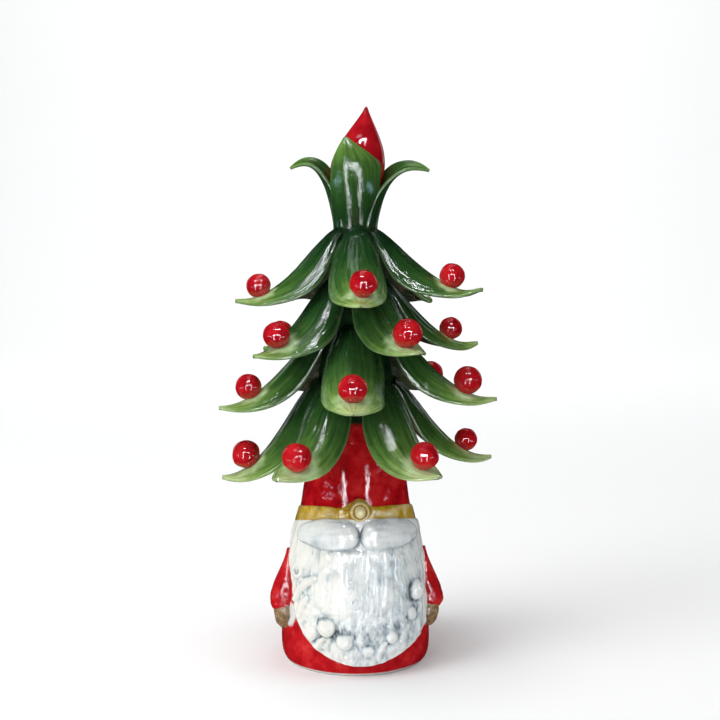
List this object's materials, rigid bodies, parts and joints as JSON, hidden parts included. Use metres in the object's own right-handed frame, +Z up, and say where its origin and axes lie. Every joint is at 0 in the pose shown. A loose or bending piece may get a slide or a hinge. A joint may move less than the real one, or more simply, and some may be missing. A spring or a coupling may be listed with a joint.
{
  "type": "tomte gnome figurine",
  "caption": "Standing gnome whose tall hat is a tree of drooping curved leaves, each with a round berry, topped by a bud in a calyx; long beard, moustache, jewelled hat band, mittens.",
  "frame": {"origin": "centre of the foot ring, on the surface the figure stands on", "axes": "+Z up along the hat's axis, -Y towards the gnome's front, +X to the viewer's right"},
  "size_m": [0.1636, 0.1657, 0.3298],
  "materials": {
    "robe_glaze": "gloss",
    "hat_glaze": "gloss",
    "gold_glaze": "gloss",
    "beard_glaze": "gloss",
    "mitten_glaze": "gloss",
    "leaf_glaze": "gloss",
    "berry_glaze": "gloss"
  },
  "bodies": {
    "root": {"robe_shell": "robe_glaze", "hat_cone": "hat_glaze", "hat_band": "gold_glaze", "band_plaque": "gold_glaze", "band_pearl": "gold_glaze", "beard": "beard_glaze", "beard_curls": "beard_glaze", "moustache_left": "beard_glaze", "moustache_right": "beard_glaze", "sleeve_left": "robe_glaze", "sleeve_right": "robe_glaze", "mitten_left": "mitten_glaze", "mitten_right": "mitten_glaze", "bud": "berry_glaze", "calyx_front": "leaf_glaze", "calyx_right": "leaf_glaze", "calyx_back": "leaf_glaze", "calyx_left": "leaf_glaze", "tier1_leaf1": "leaf_glaze", "tier1_leaf2": "leaf_glaze", "tier1_leaf3": "leaf_glaze", "tier1_leaf4": "leaf_glaze", "tier1_leaf5": "leaf_glaze", "tier2_leaf1": "leaf_glaze", "tier2_leaf2": "leaf_glaze", "tier2_leaf3": "leaf_glaze", "tier2_leaf4": "leaf_glaze", "tier2_leaf5": "leaf_glaze", "tier3_leaf1": "leaf_glaze", "tier3_leaf2": "leaf_glaze", "tier3_leaf3": "leaf_glaze", "tier3_leaf4": "leaf_glaze", "tier3_leaf5": "leaf_glaze", "tier4_leaf1": "leaf_glaze", "tier4_leaf2": "leaf_glaze", "tier4_leaf3": "leaf_glaze", "tier4_leaf4": "leaf_glaze", "tier4_leaf5": "leaf_glaze", "tier4_leaf6": "leaf_glaze", "tier1_berry1": "berry_glaze", "tier1_berry2": "berry_glaze", "tier1_berry3": "berry_glaze", "tier1_berry4": "berry_glaze", "tier1_berry5": "berry_glaze", "tier2_berry1": "berry_glaze", "tier2_berry2": "berry_glaze", "tier2_berry3": "berry_glaze", "tier2_berry4": "berry_glaze", "tier2_berry5": "berry_glaze", "tier3_berry1": "berry_glaze", "tier3_berry2": "berry_glaze", "tier3_berry3": "berry_glaze", "tier3_berry4": "berry_glaze", "tier3_berry5": "berry_glaze", "tier4_berry1": "berry_glaze", "tier4_berry2": "berry_glaze", "tier4_berry3": "berry_glaze", "tier4_berry4": "berry_glaze", "tier4_berry5": "berry_glaze", "tier4_berry6": "berry_glaze"}
  },
  "joints": []
}
